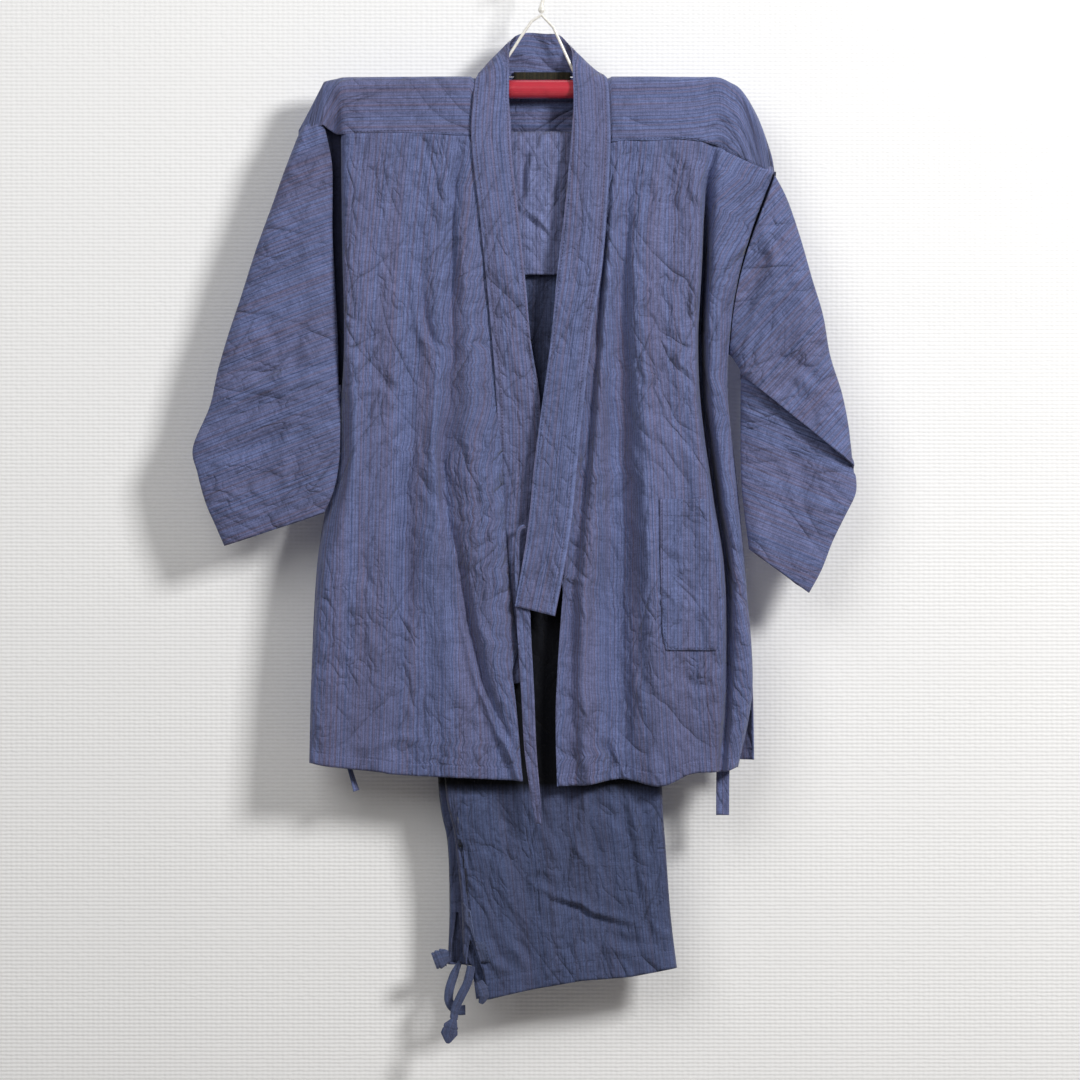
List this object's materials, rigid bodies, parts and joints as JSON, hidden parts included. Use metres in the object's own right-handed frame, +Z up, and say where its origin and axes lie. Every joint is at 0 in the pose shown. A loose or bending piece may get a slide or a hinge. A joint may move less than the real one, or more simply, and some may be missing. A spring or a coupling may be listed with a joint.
{
  "type": "samue set on a hanger",
  "caption": "Samue jacket and drawstring trousers in striped indigo cotton, hung flat and open at the front on a round red rod with a white wire loop and hook.",
  "frame": {"origin": "inside of the hook, where the hanger is held", "axes": "+Z up through the hook, +X towards the wearer's left (the viewer's right), the garment's front faces -Y"},
  "size_m": [0.6646, 0.0681, 1.0774],
  "materials": {
    "jacket_cloth": "matte faded indigo slub cotton with fine irregular warp stripes",
    "trouser_cloth": "matte darker indigo slub cotton with fine irregular warp stripes",
    "label_tape": "matte plain olive tape",
    "red_rod": "glossy red lacquer",
    "white_wire": "white coated wire"
  },
  "bodies": {
    "root": {"front_right": "jacket_cloth", "front_left": "jacket_cloth", "back": "jacket_cloth", "yoke": "jacket_cloth", "sleeve_right": "jacket_cloth", "sleeve_left": "jacket_cloth", "collar": "jacket_cloth", "pocket": "jacket_cloth", "label": "label_tape", "tie_center": "jacket_cloth", "tie_hem_right": "jacket_cloth", "tie_hem_left": "jacket_cloth", "waist": "trouser_cloth", "leg_near": "trouser_cloth", "leg_far": "trouser_cloth", "cord_near": "trouser_cloth", "cord_far": "trouser_cloth", "knot_near": "trouser_cloth", "knot_far": "trouser_cloth", "rod": "red_rod", "bar": "white_wire", "hook": "white_wire", "link_right": "white_wire", "link_left": "white_wire", "bail": "white_wire"}
  },
  "joints": []
}
